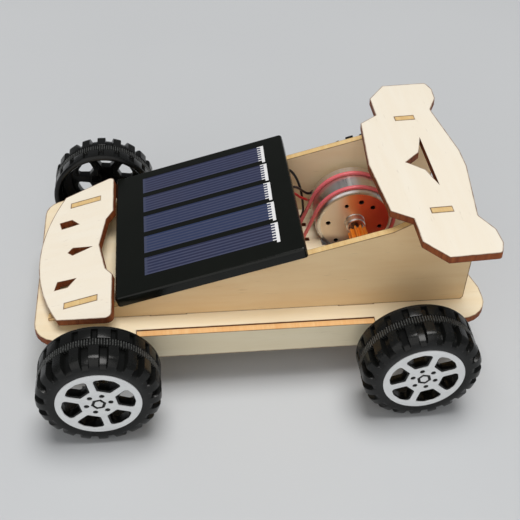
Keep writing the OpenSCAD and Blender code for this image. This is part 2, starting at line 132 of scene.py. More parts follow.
class Shader:
    """A material's node tree, built call by call. Every pattern is in the car's own frame."""

    def __init__(self, name):
        self.material = bpy.data.materials.new(name)
        self.material.use_nodes = True
        self.tree = self.material.node_tree
        self.shader = self.tree.nodes["Principled BSDF"]
        self.place = self.add("ShaderNodeTexCoord").outputs["Object"]

    def add(self, kind, inputs=(), **settings):
        """A node, with its settings and its inputs, each a value or another node's output."""
        node = self.tree.nodes.new(kind)
        for key, value in settings.items():
            setattr(node, key, value)
        for key, value in dict(inputs).items():
            self.put(node.inputs[key], value)
        return node

    def put(self, socket, value):
        """Sets a socket to a value, or links another node's output to it."""
        if isinstance(value, bpy.types.NodeSocket):
            self.tree.links.new(value, socket)
        elif isinstance(value, tuple) and len(value) == 3 and socket.type == "RGBA":
            socket.default_value = (*value, 1)
        else:
            socket.default_value = value

    def stretched(self, scale):
        """The place, scaled along each axis, for streaks and grain."""
        return self.add("ShaderNodeVectorMath", {0: self.place, 1: scale}, operation="MULTIPLY").outputs[0]

    def noise(self, scale, detail, stretch=(1, 1, 1), rough=0.5):
        """Smooth noise from 0 to 1, with features of about 1 / scale metres."""
        inputs = {"Vector": self.stretched(stretch), "Scale": scale, "Detail": detail, "Roughness": rough}
        return self.add("ShaderNodeTexNoise", inputs).outputs["Fac"]

    def math(self, operation, a, b=0.0):
        """One step of arithmetic."""
        return self.add("ShaderNodeMath", {0: a, 1: b}, operation=operation).outputs[0]

    def ramp(self, factor, stops):
        """Colours, or plain numbers as greys, along a factor from 0 to 1."""
        node = self.add("ShaderNodeValToRGB", {"Fac": factor})
        elements = node.color_ramp.elements
        while len(elements) < len(stops):
            elements.new(0.5)
        for element, (at, colour) in zip(elements, stops):
            element.position = at
            element.color = (*colour, 1) if isinstance(colour, tuple) else (colour, colour, colour, 1)
        return node.outputs["Color"]

    def mix(self, factor, a, b):
        """Two colours, mixed by a factor."""
        node = self.add("ShaderNodeMix", data_type="RGBA")
        self.put(node.inputs["Factor"], factor)
        self.put(node.inputs[6], a)
        self.put(node.inputs[7], b)
        return node.outputs[2]

    def attribute(self, name):
        """A number that the mesh holds at each of its points."""
        return self.add("ShaderNodeAttribute", attribute_name=name).outputs["Fac"]

    def finish(self, colour, bump=None, depth=0.0, **values):
        """Links the colour and the bump, whose height is depth metres, and sets the shader's other inputs."""
        self.put(self.shader.inputs["Base Color"], colour)
        if bump is not None:
            node = self.add("ShaderNodeBump", {"Height": bump, "Distance": depth, "Strength": 1.0})
            self.put(self.shader.inputs["Normal"], node.outputs[0])
        for key, value in values.items():
            self.put(self.shader.inputs[key.replace("_", " ").title().replace("Ior", "IOR")], value)
        return self.material


SMOKE = (0.16, 0.06, 0.02)


def plywood_face(name, light, dark, along):
    """Birch veneer: grain and pores along one axis, soft clouds, and smoke beside the cut edges."""
    s = Shader(name)
    grain = s.noise(260, 4, along, 0.6)
    cloud = s.noise(38, 3)
    pores = s.noise(1500, 2, along)
    veneer = s.mix(s.ramp(grain, [(0.35, 0.0), (0.7, 1.0)]), light, dark)
    veneer = s.mix(s.ramp(cloud, [(0.35, 0.0), (0.75, 0.6)]), veneer, dark)
    veneer = s.mix(s.ramp(pores, [(0.68, 0.0), (0.8, 0.18)]), veneer, SMOKE)
    near_cut = s.ramp(s.attribute("burn"), [(0.2, 0.0), (0.7, 1.0)])
    uneven = s.noise(420, 3)
    tint = s.math("MULTIPLY", near_cut, s.ramp(uneven, [(0.25, 0.5), (0.7, 1.0)]))
    veneer = s.mix(tint, veneer, SMOKE)
    height = s.math("ADD", s.math("MULTIPLY", grain, 0.6), s.math("MULTIPLY", pores, 0.4))
    gloss = s.ramp(cloud, [(0.3, 0.46), (0.7, 0.58)])
    return s.finish(veneer, height, 0.00006, roughness=gloss, specular_ior_level=0.35)


def plywood_edge(name, light, dark, across):
    """A laser-cut edge: charred streaks across the plies, and darker lines of glue between them."""
    s = Shader(name)
    streak = s.noise(900, 3, across, 0.65)
    patch = s.noise(140, 2)
    char = s.mix(s.ramp(streak, [(0.3, 0.0), (0.72, 1.0)]), light, dark)
    char = s.mix(s.ramp(patch, [(0.3, 0.0), (0.75, 0.7)]), char, dark)
    glue = s.ramp(s.attribute("depth"), [(0.0, 0.9), (0.09, 0.1), (0.31, 0.0), (0.34, 0.35), (0.37, 0.0),
                                         (0.63, 0.0), (0.66, 0.35), (0.69, 0.0), (0.91, 0.1), (1.0, 0.9)])
    char = s.mix(glue, char, tuple(0.3 * c for c in dark))
    return s.finish(char, streak, 0.00012, roughness=0.62, specular_ior_level=0.3)


def plastic(name, colour, roughness, speckle=0.1, grain=0.00002, **values):
    """Moulded plastic or rubber: a faint unevenness of colour and gloss, and a fine moulded grain."""
    s = Shader(name)
    cloud = s.noise(90, 3)
    fine = s.noise(2600, 2)
    darker = tuple(c * (1 - speckle) for c in colour)
    shade = s.mix(s.ramp(cloud, [(0.3, 0.0), (0.7, 1.0)]), colour, darker)
    gloss = s.ramp(cloud, [(0.3, roughness * 0.85), (0.7, roughness * 1.15)])
    return s.finish(shade, fine, grain, roughness=gloss, **values)


def tyre_rubber():
    """Black rubber, with a painted highlight: a paler grey on the tops of the tread's ribs and lugs, broken
    up by fine noise.
    """
    s = Shader("tyre_black")
    cloud = s.noise(90, 3)
    fine = s.noise(2600, 2)
    rubber = s.mix(cloud, (0.006, 0.0063, 0.006), (0.004, 0.0043, 0.004))
    # painted highlight: glints on the rib and lug tops, painted into the colour as a paler grey
    painted_glint = s.math("MULTIPLY", s.attribute("painted_glint"), s.ramp(fine, [(0.35, 0.2), (0.65, 1.0)]))
    gloss = s.ramp(cloud, [(0.3, 0.2), (0.7, 0.28)])
    return s.finish(s.mix(painted_glint, rubber, (0.1, 0.103, 0.1)), fine, 0.00001, roughness=gloss,
                    specular_ior_level=0.28)


def metal(name, colour, roughness, brushed=(1, 1, 1), scratch=0.00001):
    """Bare metal: streaks of gloss along the brushing, and a faint mottle."""
    s = Shader(name)
    streak = s.noise(1100, 3, brushed, 0.6)
    cloud = s.noise(120, 2)
    darker = tuple(c * 0.82 for c in colour)
    shade = s.mix(s.ramp(cloud, [(0.3, 0.0), (0.7, 1.0)]), colour, darker)
    gloss = s.ramp(streak, [(0.3, roughness * 0.75), (0.7, roughness * 1.3)])
    return s.finish(shade, streak, scratch, roughness=gloss, metallic=1.0)


def cell_blue():
    """Silicon under epoxy: dark blue violet with pale finger lines, and a pale bar at the front end."""
    s = Shader("panel_blue")
    across = s.attribute("across")
    along = s.attribute("along")
    strip = s.attribute("strip")
    wave = s.math("SINE", s.math("MULTIPLY", across, FINGERS * 2 * math.pi))
    finger = s.ramp(s.math("ADD", s.math("MULTIPLY", wave, 0.5), 0.5), [(0.45, 0.0), (0.8, 1.0)])
    cloud = s.noise(60, 3)
    violet = s.mix(s.ramp(cloud, [(0.3, 0.0), (0.7, 1.0)]), (0.03, 0.03, 0.062), (0.02, 0.027, 0.068))
    cell = s.mix(strip, violet, (0.028, 0.042, 0.1))
    pale = s.mix(s.noise(700, 2), (0.085, 0.09, 0.15), (0.055, 0.065, 0.12))
    cell = s.mix(finger, cell, pale)
    cell = s.mix(s.ramp(along, [(0.0, 0.75), (0.018, 0.75), (0.024, 0.0)]), cell, (0.06, 0.07, 0.12))
    return s.finish(cell, roughness=0.28, specular_ior_level=0.3)


def epoxy_black():
    """The board's black face under clear epoxy, with slow waves in its gloss."""
    s = Shader("panel_black")
    wave = s.noise(45, 2)
    shade = s.mix(wave, (0.004, 0.005, 0.004), (0.007, 0.008, 0.006))
    gloss = s.ramp(s.noise(300, 3), [(0.3, 0.16), (0.7, 0.24)])
    return s.finish(shade, wave, 0.0001, roughness=gloss, specular_ior_level=0.25)


def copper_winding():
    """Enamelled copper wire, wound round the armature."""
    s = Shader("armature_copper")
    turns = s.noise(2200, 1, (1, 0.05, 1))
    shade = s.ramp(turns, [(0.35, (0.06, 0.02, 0.008)), (0.65, (0.3, 0.12, 0.05))])
    return s.finish(shade, turns, 0.0001, roughness=0.35, metallic=0.8)


def steel_face():
    """The motor's face: plated steel, with a painted reflection of the orange gears beside it that warms it
    from tan to deep red across the face.
    """
    s = Shader("motor_face")
    swirl = s.noise(200, 2, (1, 0.1, 1))
    # the plated steel itself is tinted a warm tan, part of the painted reflection
    steel = s.mix(swirl, (0.98, 0.85, 0.70), (0.93, 0.78, 0.60))
    axis = s.add("ShaderNodeVectorMath", {0: s.place, 1: tuple(MOTOR_AXIS)}, operation="SUBTRACT").outputs[0]
    part = s.add("ShaderNodeSeparateXYZ", {0: axis})
    lean = s.math("ADD", part.outputs["X"], s.math("MULTIPLY", part.outputs["Z"], 0.25))
    turn = s.math("ADD", s.math("MULTIPLY", lean, 0.5 / MOTOR_R), 0.5)
    # painted reflection: tan on the left through orange to deep red on the right, by place across the face
    painted_reflection = s.ramp(turn, [(0.3, (0.96, 0.72, 0.50)), (0.48, (0.95, 0.36, 0.12)), (0.62, (0.92, 0.14, 0.035)),
                         (0.9, (0.62, 0.03, 0.01))])
    shade = s.mix(s.ramp(turn, [(0.25, 0.0), (0.5, 0.95)]), steel, painted_reflection)
    gloss = s.ramp(swirl, [(0.3, 0.3), (0.7, 0.38)])
    return s.finish(shade, roughness=gloss, metallic=0.3)


# ---- mesh helpers ----

def mesh_from(bm, name):
    """A mesh with outward normals from a bmesh, which is freed."""
    bmesh.ops.recalc_face_normals(bm, faces=bm.faces)
    mesh = bpy.data.meshes.new(name)
    bm.to_mesh(mesh)
    bm.free()
    return mesh


def add_piece(name, bm, body, materials, smooth=True):
    """A finished piece from a bmesh: its object at the origin, on its body and materials."""
    mesh = mesh_from(bm, name)
    piece = bpy.data.objects.new(name, mesh)
    bpy.context.scene.collection.objects.link(piece)
    for material in materials:
        mesh.materials.append(material)
    if smooth:
        mesh.shade_smooth()
        mesh.set_sharp_from_angle(angle=math.radians(32))
    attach(piece, body)
    return piece


def on_circle(radius, angle):
    """A point on a circle about the origin."""
    return Vector((radius * math.cos(angle), radius * math.sin(angle)))


def rounded(corners, steps=4):
    """An outline from corners (x, y, radius), each rounded by an arc where its radius isn't 0."""
    points = []
    for i, (x, y, radius) in enumerate(corners):
        here = Vector((x, y))
        if radius == 0:
            points.append(here)
            continue
        before = Vector(corners[i - 1][:2]) - here
        after = Vector(corners[(i + 1) % len(corners)][:2]) - here
        half = before.angle(after) / 2
        centre = here + (before.normalized() + after.normalized()).normalized() * radius / math.sin(half)
        first = here + before.normalized() * radius / math.tan(half) - centre
        last = here + after.normalized() * radius / math.tan(half) - centre
        turn = first.angle_signed(last)
        points += [centre + Matrix.Rotation(-turn * k / steps, 2) @ first for k in range(steps + 1)]
    return points


def turned(points, angle):
    """Points turned about the origin."""
    return [Matrix.Rotation(angle, 2) @ Vector(p) for p in points]


def circle(radius, steps, centre=(0, 0)):
    """Points round a circle."""
    return [Vector(centre) + on_circle(radius, 2 * math.pi * i / steps) for i in range(steps)]


def cut_sheet(outlines, thickness, rim):
    """A flat sheet under z = 0 with the given outlines cut from it, its rims rounded by rim, as a bmesh."""
    data = bpy.data.curves.new("sheet", "CURVE")
    data.dimensions = "2D"
    data.fill_mode = "BOTH"
    data.extrude = thickness / 2 - rim
    data.bevel_depth = rim
    data.bevel_resolution = 2
    data.offset = -rim
    for outline in outlines:
        spline = data.splines.new("POLY")
        spline.points.add(len(outline) - 1)
        spline.use_cyclic_u = True
        for point, (x, y) in zip(spline.points, outline):
            point.co = (x, y, 0, 1)
    holder = bpy.data.objects.new("sheet", data)
    bpy.context.scene.collection.objects.link(holder)
    shape = holder.evaluated_get(bpy.context.evaluated_depsgraph_get())
    mesh = bpy.data.meshes.new_from_object(shape)
    bm = bmesh.new()
    bm.from_mesh(mesh)
    bmesh.ops.remove_doubles(bm, verts=bm.verts, dist=1e-6)
    bmesh.ops.translate(bm, verts=bm.verts, vec=(0, 0, -thickness / 2))
    bpy.data.objects.remove(holder)
    bpy.data.curves.remove(data)
    bpy.data.meshes.remove(mesh)
    return bm


def skin(bm, rings):
    """Adds the faces between rings of vertices, each ring closed, and the last joined to the first."""
    steps = len(rings[0])
    for low, high in zip(rings, rings[1:] + rings[:1]):
        for i in range(steps):
            j = (i + 1) % steps
            bm.faces.new((low[i], low[j], high[j], high[i]))


def lathe(bm, profile, steps):
    """Adds a closed profile of (radius, z) points, turned round the z axis."""
    rings = []
    for radius, z in profile:
        rings.append([bm.verts.new((x, y, z)) for x, y in circle(radius, steps)])
    skin(bm, rings)


def append_mesh(bm, other):
    """Adds another bmesh's shape to bm, and frees it."""
    mesh = bpy.data.meshes.new("part")
    other.to_mesh(mesh)
    other.free()
    bm.from_mesh(mesh)
    bpy.data.meshes.remove(mesh)


def swept(pairs, y, section):
    """A section of (out, side) points swept round pairs of X and Z vectors: a point and its way out."""
    bm = bmesh.new()
    rings = []
    for point, out in pairs:
        places = [(point + out * a, y + b) for a, b in section]
        rings.append([bm.verts.new((place.x, side, place.y)) for place, side in places])
    skin(bm, rings)
    return bm


def box_of(node):
    """A CAD node's middle and size."""
    low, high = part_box(node)
    return (low + high) / 2, high - low


# ---- plywood plates ----

def plate(node, material_pair):
    """A plate of a CAD node's own shape, with a band of smoke along every cut edge of its two faces."""
    smoke_width = 0.45 * MM
    bm = bmesh.new()
    bm.from_mesh(frame["nodes"][node].data)
    bmesh.ops.remove_doubles(bm, verts=bm.verts, dist=2e-6)
    normal = max(bm.faces, key=lambda f: f.calc_area()).normal.copy()
    burn = bm.verts.layers.float.new("burn")
    depth = bm.verts.layers.float.new("depth")
    faces = [f for f in bm.faces if abs(f.normal.dot(normal)) > 0.999]
    for face in bm.faces:
        face.material_index = 1
    for face in faces:
        face.material_index = 0
    levels = [v.co.dot(normal) for v in bm.verts]
    low, high = min(levels), max(levels)
    for side in (1, -1):
        flat = [f for f in faces if f.normal.dot(normal) * side > 0]
        bmesh.ops.inset_region(bm, faces=flat, thickness=smoke_width, use_boundary=True,
                               use_even_offset=False)
    for v in bm.verts:
        v[depth] = (v.co.dot(normal) - low) / (high - low)
        v[burn] = 1.0 if any(f.material_index for f in v.link_faces) else 0.0
    piece = add_piece(node + "_ply", bm, "chassis", material_pair, smooth=False)
    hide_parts(node)


def make_plates():
    """All seven plywood plates. The veneer is palest on the hood and spoiler, and warmest on the walls. The
    far wall's is painted paler than the near wall's, as painted light on its shaded inner face.
    """
    pale, shade = (0.94, 0.87, 0.74), (0.92, 0.83, 0.68)
    along_x, along_y = (0.12, 1, 1), (1, 0.12, 1)
    hood = plywood_face("plywood_top", pale, shade, along_x)
    spoiler = plywood_face("plywood_spoiler", pale, shade, along_y)
    deck = plywood_face("plywood_deck", (0.91, 0.80, 0.60), (0.87, 0.72, 0.48), along_x)
    rail = plywood_face("plywood_rail", (0.82, 0.74, 0.55), (0.76, 0.66, 0.46), along_x)
    near_wall = plywood_face("plywood_side", (0.86, 0.65, 0.38), (0.80, 0.56, 0.30), along_x)
    # painted light: the far wall is the same plywood as the near wall, painted paler to light its shaded
    # inner face
    far_wall_painted_light = plywood_face("plywood_inside_painted_light", (0.96, 0.80, 0.56), (0.92, 0.72, 0.46), along_x)
    flat_edge = plywood_edge("plywood_edge", (0.42, 0.12, 0.03), (0.18, 0.035, 0.008), (1, 1, 0.06))
    rail_edge = plywood_edge("plywood_rail_edge", (0.90, 0.60, 0.30), (0.82, 0.44, 0.17), (1, 0.06, 1))
    wall_edge = plywood_edge("plywood_wall_edge", (0.88, 0.66, 0.33), (0.74, 0.48, 0.2), (1, 0.06, 1))
    plate("base_plate", (deck, flat_edge))
    plate("hood_plate", (hood, flat_edge))
    plate("spoiler_plate", (spoiler, flat_edge))
    plate("rail_near", (rail, rail_edge))
    plate("rail_far", (rail, rail_edge))
    plate("side_wall_near", (near_wall, wall_edge))
    plate("side_wall_far", (far_wall_painted_light, wall_edge))


# ---- solar panel ----

STRIPS = 5
STRIP_PITCH = 9.5 * MM
STRIP_W = 7.4 * MM
STRIP_MID = 1.25 * MM
STRIP_U = (9.1 * MM, 47.9 * MM)
STRIP_BLUE = (0.1, 1.0, 0.6, 0.25, 0.15)    # from the near strip to the far one: 1 is bluest
FINGERS = 6


def strip_middle(i):
    """A strip's middle across the panel, from the near one, 0, to the far one."""
    return STRIP_MID + (i - (STRIPS - 1) / 2) * STRIP_PITCH


def panel_frame():
    """From the panel's own frame, u along the slope, v across and w up from its underside, to the car's."""
    x = PANEL_FRONT_X + PANEL_T * math.sin(SLOPE)
    place = Matrix.Translation((x, PANEL_Y, WALL_Z0 + math.tan(SLOPE) * x))
    return place @ Matrix.Rotation(-SLOPE, 4, "Y")


def flat_box(bm, low, high):
    """Adds a plain box and returns its vertices."""
    size = Vector(high) - Vector(low)
    place = Matrix.Translation((Vector(low) + Vector(high)) / 2) @ Matrix.Diagonal((*size, 1))
    return bmesh.ops.create_cube(bm, size=1, matrix=place)["verts"]


def make_board():
    """The black board, its upright corners rounded and its top rim domed by the epoxy."""
    length, width = 55.3 * MM, 56 * MM
    corner_r, rim_r = 1.0 * MM, 0.95 * MM
    bm = bmesh.new()
    flat_box(bm, (0, -width / 2, 0), (length, width / 2, PANEL_T))
    upright = [e for e in bm.edges if abs(e.verts[0].co.z - e.verts[1].co.z) > PANEL_T / 2]
    bmesh.ops.bevel(bm, geom=upright, offset=corner_r, segments=5, profile=0.5, affect="EDGES")
    rim = [e for e in bm.edges if min(v.co.z for v in e.verts) > PANEL_T * 0.99]
    bmesh.ops.bevel(bm, geom=rim, offset=rim_r, segments=6, profile=0.5, affect="EDGES")
    bmesh.ops.transform(bm, matrix=panel_frame(), verts=bm.verts)
    piece = add_piece("panel_epoxy_board", bm, "chassis", [epoxy_black()])
    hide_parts("panel_board")


def make_cells():
    """Five thin strips just proud of the board, each with numbers for its finger lines."""
    proud = 0.03 * MM
    bm = bmesh.new()
    layers = {name: bm.verts.layers.float.new(name) for name in ("across", "along", "strip")}
    for i in range(STRIPS):
        low = Vector((STRIP_U[0], strip_middle(i) - STRIP_W / 2, PANEL_T - proud))
        high = Vector((STRIP_U[1], strip_middle(i) + STRIP_W / 2, PANEL_T + proud))
        for vert in flat_box(bm, low, high):
            vert[layers["across"]] = (vert.co.y - low.y) / STRIP_W
            vert[layers["along"]] = (vert.co.x - low.x) / (high.x - low.x)
            vert[layers["strip"]] = STRIP_BLUE[i]
    bmesh.ops.transform(bm, matrix=panel_frame(), verts=bm.verts)
    piece = add_piece("panel_cell_strips", bm, "chassis", [cell_blue()], smooth=False)
    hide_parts("panel_cells")


def make_busbars():
    """White collector bars: one comb for each strip, a little askew, so that the row of them jogs."""
    proud = 0.06 * MM
    bar_w, tooth_l, tooth_w = 0.95 * MM, 1.1 * MM, 0.42 * MM
    skew = 0.25 * MM / STRIP_PITCH
    bm = bmesh.new()
    for i in range(STRIPS):
        low_v, high_v = strip_middle(i) - STRIP_PITCH / 2, strip_middle(i) + STRIP_W / 2
        verts = flat_box(bm, (STRIP_U[1], low_v, PANEL_T), (STRIP_U[1] + bar_w, high_v, PANEL_T + proud))
        for k in range(FINGERS + 1):
            v = strip_middle(i) + (k / FINGERS - 0.5) * (STRIP_W - tooth_w)
            tip = (STRIP_U[1] - tooth_l, v - tooth_w / 2, PANEL_T)
            verts += flat_box(bm, tip, (STRIP_U[1], v + tooth_w / 2, PANEL_T + proud))
        for vert in verts:
            vert.co.x += skew * (vert.co.y - (low_v + high_v) / 2)
    bmesh.ops.transform(bm, matrix=panel_frame(), verts=bm.verts)
    paint = plastic("panel_silver", (0.87, 0.87, 0.88), 0.4, 0.06)
    piece = add_piece("panel_collector_bars", bm, "chassis", [paint], smooth=False)
    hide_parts("panel_busbars")


# ---- wheels ----

WINDOWS = 6
LUGS = 20
LUG_SHARE = (10 / 18, 13 / 18)    # how much of the way round the lugs fill, in the near and far rows
# how much painted highlight the lug tops get, against 1 on the ribs' tops
LUG_PAINTED_GLINT = 0.05
RIBS_PER_LUG = 7
RIB_STEPS = 4
DISC_R = 11.45 * MM
DISC_T = 3.0 * MM
FACE_T = 0.35 * MM
TREAD = 1.4 * MM


def wheel_frame(tyre, side):
    """From a wheel's own frame, z out of its face and y up, to the car's."""
    middle, size = box_of(tyre)
    place = Matrix.Translation((middle.x, middle.y + side * size.y / 2, middle.z))
    return place @ Matrix.Rotation(math.pi * (side > 0), 4, "Z") @ Matrix.Rotation(math.pi / 2, 4, "X")


def body_of_wheel(name):
    """The body that a wheel turns with."""
    return "front_wheelset" if name.startswith("front") else "rear_wheelset"


def window_outline(inset=0.0):
    """A window between two spokes, wider towards the rim, and drawn in by inset on its other three sides."""
    hub_side, widest, rim_side = 4.9 + inset, 8.6 - inset * 0.2, 9.75
    hub_half, half, rim_half = 1.8 - inset * 0.7, 3.95 - inset, 1.5
    upper = [(rim_side, rim_half, 2), (widest, half, 0.9), (hub_side, hub_half, 0.6)]
    lower = [(x, -y, r) for x, y, r in reversed(upper)]
    return rounded([(x * MM, y * MM, r * MM) for x, y, r in lower + upper])


def make_wheel(name, side, turn, silver, black):
    """A wheel's black centre with its hub, and the thin silver face on it."""
    place = wheel_frame("tyre_" + name, side)
    body = body_of_wheel(name)
    hub_r, bore_r = 2.6 * MM, 1.0 * MM
    hole_r, hole_at = 0.72 * MM, 3.3 * MM
    groove_r, boss_r = 2.1 * MM, 1.2 * MM
    hub_l = box_of("wheel_" + name)[1].y
    angles = [turn + i * 2 * math.pi / WINDOWS for i in range(WINDOWS)]
    windows = [turned(window_outline(), a) for a in angles]
    holes = [circle(hole_r, 12, on_circle(hole_at, a)) for a in angles]
    # a hexagonal boss stands in a hexagonal groove
    groove = turned(circle(groove_r, 6), turn)
    boss = turned(circle(boss_r, 6), turn)
    face = cut_sheet([circle(DISC_R, 96), *windows, *holes, groove, boss], FACE_T, 0.1 * MM)
    bmesh.ops.transform(face, matrix=place, verts=face.verts)
    piece = add_piece("wheel_face_" + name, face, body, [silver])
    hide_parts("wheel_" + name)

    ledge = 0.5
    deep_windows = [turned(window_outline(ledge), a) for a in angles]
    centre = cut_sheet([circle(DISC_R - 0.02 * MM, 96), *deep_windows], DISC_T - FACE_T, 0.12 * MM)
    bmesh.ops.translate(centre, verts=centre.verts, vec=(0, 0, -FACE_T))
    back = -DISC_T
    lathe(centre, [(hub_r + 0.5 * MM, back + 0.1 * MM), (hub_r, back - 0.8 * MM),
                   (hub_r * 0.94, 0.3 * MM - hub_l), (hub_r * 0.85, -hub_l), (bore_r, -hub_l),
                   (bore_r, back + 0.1 * MM)], 40)
    rib_end, rib_half, rib_depth = 4.6 * MM, 0.35 * MM, 2.2 * MM
    for a in angles:
        rib = bmesh.new()
        flat_box(rib, (hub_r * 0.9, -rib_half, back - rib_depth), (rib_end, rib_half, back + 0.05 * MM))
        bmesh.ops.transform(rib, matrix=Matrix.Rotation(a + math.pi / WINDOWS, 4, "Z"), verts=rib.verts)
        append_mesh(centre, rib)
    bmesh.ops.transform(centre, matrix=place, verts=centre.verts)
    add_piece("wheel_centre_" + name, centre, body, [black])


def tyre_section(radius):
    """The tyre's section, from its face round to its barrel. Each point has its radius in the gaps, its
    depth in from the face, its row of lugs, "ribs" or None, and how much of the tread a lug adds there."""
    # the lengths are in mm until the last line
    tip, disc, disc_t = radius / MM, DISC_R / MM, DISC_T / MM
    base = tip - TREAD / MM
    shoulder_r, shoulder_d, lug_shoulder_d, shoulder_steps = 13.2, 4.2, 2.8, 14
    bead = [(disc, 0.5), (disc + 0.1, 0.2), (disc + 0.5, 0.05)]
    near_lug_end = [(5.9, 1.0), (6.1, 0.9), (6.18, 0.7), (6.2, 0.0)]
    rib_band = [(base + 1.0, 6.3), (base + 1.0, 8.4), (base + 0.5, 8.5)]
    far_base, far_rise = base + 0.5, 0.6
    far_lug = [(8.6, 0.0), (8.62, 0.7), (8.7, 0.9), (8.9, 1.0), (11.88, 1.0)]
    barrel = tip - 2.5
    back = [(tip - 0.1, 11.9), (tip, 12.0), (tip, 12.5), (tip - 0.2, 12.75), (tip - 0.8, 13.1),
            (tip - 1.3, 13.1), (tip - 2.0, 12.4), (barrel, 11.1), (barrel, disc_t + 1.4), (disc, disc_t)]

    section = [(r, d, None, 0.0) for r, d in bead]
    for i in range(shoulder_steps + 1):
        a = math.pi / 2 * i / shoulder_steps
        r, depth = shoulder_r + (base - shoulder_r) * math.sin(a), shoulder_d * (1 - math.cos(a))
        lug_a = math.acos(max(0.0, 1 - depth / lug_shoulder_d))
        lug_r = shoulder_r + (tip - shoulder_r) * math.sin(lug_a)
        section.append((r, depth, 0, (lug_r - r) / (tip - base)))
    section += [(base, d, 0, high) for d, high in near_lug_end]
    section += [(base, 6.25, None, 0.0)]
    section += [(r, d, "ribs", 0.0) for r, d in rib_band]
    section += [(far_base, d, 1, high * far_rise) for d, high in far_lug]
    section += [(r, d, None, 0.0) for r, d in back]
    return [(r * MM, d * MM, row, high) for r, d, row, high in section]


def on_lug(column, row):
    """How far a column stands on a lug: 1 on top, 0 in a gap, between them on a wall."""
    period = RIBS_PER_LUG * RIB_STEPS
    at = (column + row * period / 2) % period
    from_middle = min(at, period - at)
    return max(0.0, min(1.0, period * LUG_SHARE[row] / 2 + 0.5 - from_middle))


def make_tyre(name, side, rubber):
    """A tyre as one closed grid: two rows of lugs, a band of fine ribs between them, and an open barrel."""
    radius = box_of("tyre_" + name)[1].z / 2
    rib_h = 0.28 * MM
    columns = LUGS * RIBS_PER_LUG * RIB_STEPS
    bm = bmesh.new()
    painted_glint = bm.verts.layers.float.new("painted_glint")
    rings = []
    for r, depth, row, high in tyre_section(radius):
        ring = []
        for c in range(columns):
            if row == "ribs":
                share = 1.0 if c % RIB_STEPS in (1, 2) else 0.0
                lift, rib_lug_glint = share * rib_h, share
            elif row is None:
                lift, rib_lug_glint = 0.0, 0.0
            else:
                share = high * on_lug(c, row)
                lift, rib_lug_glint = share * TREAD, share * LUG_PAINTED_GLINT
            vert = bm.verts.new((*on_circle(r + lift, 2 * math.pi * c / columns), -depth))
            # painted highlight: the rib and lug tops get their share of the paler grey
            vert[painted_glint] = rib_lug_glint
            ring.append(vert)
        rings.append(ring)
    skin(bm, rings)
    bmesh.ops.transform(bm, matrix=wheel_frame("tyre_" + name, side), verts=bm.verts)
    piece = add_piece("tread_" + name, bm, body_of_wheel(name), [rubber])
    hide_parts("tyre_" + name)


def make_wheels():
    """Four wheels. turn is the angle in degrees of a window's middle, seen from outside."""
    rubber = tyre_rubber()
    silver = plastic("wheel_silver", (0.83, 0.85, 0.86), 0.35, 0.08, 0.00002)
    for name, side, turn in (("front_near", NEAR, 11), ("front_far", FAR, -24.5), ("rear_near", NEAR, 47),
                             ("rear_far", FAR, -30)):
        make_tyre(name, side, rubber)
        make_wheel(name, side, math.radians(turn), silver, rubber)


# ---- gears and motor ----

MOTOR_MIDDLE, MOTOR_SIZE = box_of("motor_can")
MOTOR_R = MOTOR_SIZE.x / 2
BOSS_H = 2.4 * MM
GEAR_MODULE = 0.5 * MM
PINION_TEETH, GEAR_TEETH = 10, 50
MOTOR_FACE_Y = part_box("motor_can")[0].y + BOSS_H
MOTOR_BACK_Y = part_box("motor_can")[1].y
MOTOR_AXIS = Vector((MOTOR_MIDDLE.x, MOTOR_FACE_Y, MOTOR_MIDDLE.z))


def face_frame(x, y, z):
    """A frame whose z looks towards the near side and whose y is up, with its origin at a point."""
    return Matrix.Translation((x, y, z)) @ Matrix.Rotation(math.pi / 2, 4, "X")


def gear_outline(teeth, turn):
    """A gear's outline with rounded teeth, one of them at angle turn."""
    pitch_r = GEAR_MODULE * teeth / 2
    step = 2 * math.pi / teeth
    # up a tooth's side: modules out from the pitch circle, and half the tooth's width there in steps
    flank = [(-1.2, 0.36), (-0.95, 0.31), (0, 0.235), (0.5, 0.165), (0.84, 0.115), (0.96, 0.07)]
    sides = [(r, -a) for r, a in flank] + [(r, a) for r, a in reversed(flank)]
    tooth = [(pitch_r + r * GEAR_MODULE, a) for r, a in sides]
    return [on_circle(r, turn + (i + a) * step) for i in range(teeth) for r, a in tooth]


